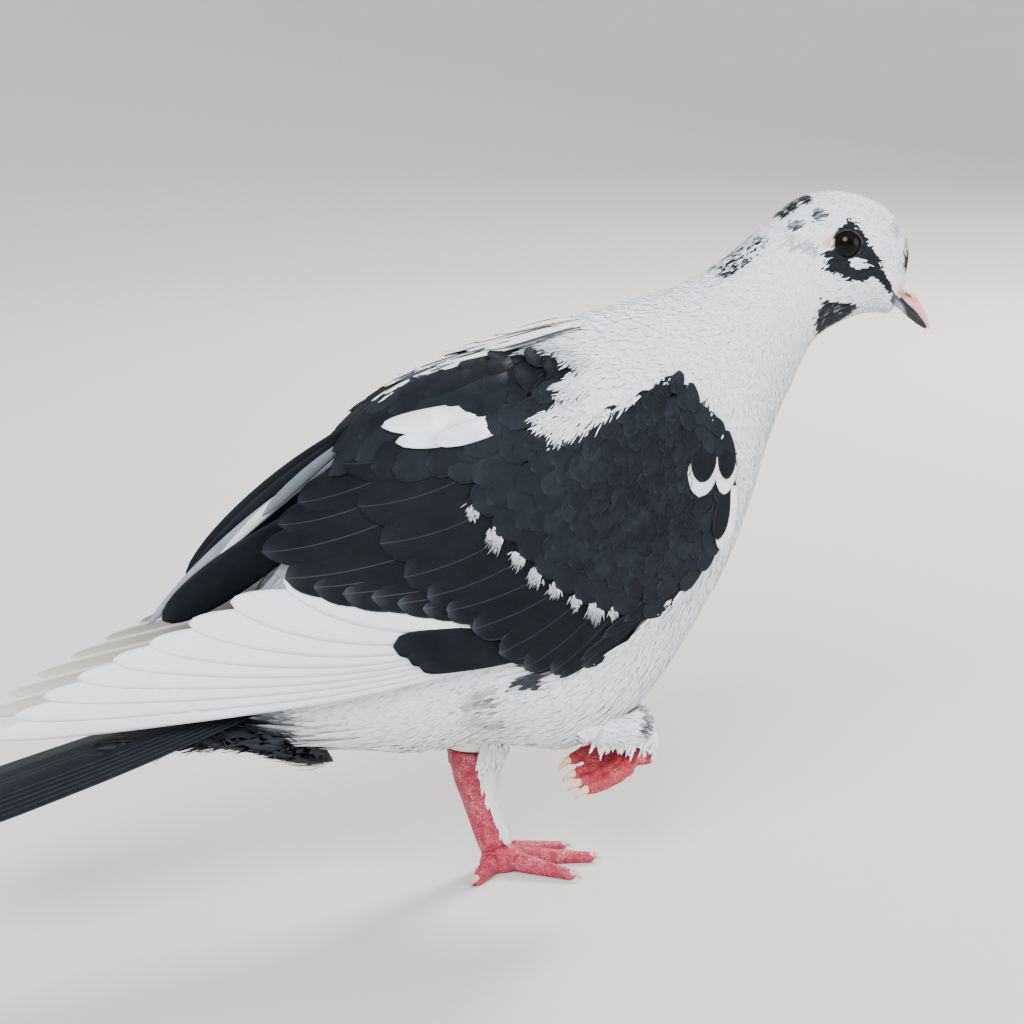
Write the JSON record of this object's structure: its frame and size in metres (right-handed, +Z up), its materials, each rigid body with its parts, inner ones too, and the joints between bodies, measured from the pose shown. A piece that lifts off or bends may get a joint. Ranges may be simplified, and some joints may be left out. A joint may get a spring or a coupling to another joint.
{
  "type": "pigeon",
  "caption": "Life-size still model of a pied pigeon in mid-step, standing on one foot with the other lifted and its head turned aside.",
  "frame": {"origin": "middle of the flat sole of the standing left foot, on the floor", "axes": "+X towards the breast, +Y towards the bird's left side, +Z up"},
  "size_m": [0.2978, 0.0896, 0.2031],
  "materials": {
    "white_feather": "matte, soft feathers",
    "dark_feather": "satin, black-blue flight feathers and coverts",
    "tail_feather": "satin, blue-black tail feathers",
    "foot_skin": "dull, finely scaled pink-red skin",
    "cere_skin": "soft, powdery pinkish white",
    "bill_horn": "satin, salmon-pink horn",
    "lower_bill_horn": "satin, blackish horn",
    "claw_horn": "satin, yellowish cream horn",
    "eye": "clear gloss over a near-black iris"
  },
  "bodies": {
    "root": {"head": "white_feather", "neck": "white_feather", "trunk": "white_feather", "shank_left": "white_feather", "shank_right": "white_feather", "wing_shield_left": "dark_feather", "wing_shield_right": "dark_feather", "wing_secondaries_left": "dark_feather", "wing_secondaries_right": "dark_feather", "wing_primaries_left": "white_feather", "wing_primaries_right": "white_feather", "tail": "tail_feather", "undertail": "tail_feather", "cere": "cere_skin", "bill_upper": "bill_horn", "bill_lower": "lower_bill_horn", "eye_left": "eye", "eye_right": "eye", "tarsus_left": "foot_skin", "tarsus_right": "foot_skin", "palm_left": "foot_skin", "palm_right": "foot_skin", "toe_left_hallux": "foot_skin", "toe_left_inner": "foot_skin", "toe_left_middle": "foot_skin", "toe_left_outer": "foot_skin", "toe_right_hallux": "foot_skin", "toe_right_inner": "foot_skin", "toe_right_middle": "foot_skin", "toe_right_outer": "foot_skin", "claw_left_hallux": "claw_horn", "claw_left_inner": "claw_horn", "claw_left_middle": "claw_horn", "claw_left_outer": "claw_horn", "claw_right_hallux": "claw_horn", "claw_right_inner": "claw_horn", "claw_right_middle": "claw_horn", "claw_right_outer": "claw_horn"}
  },
  "joints": []
}
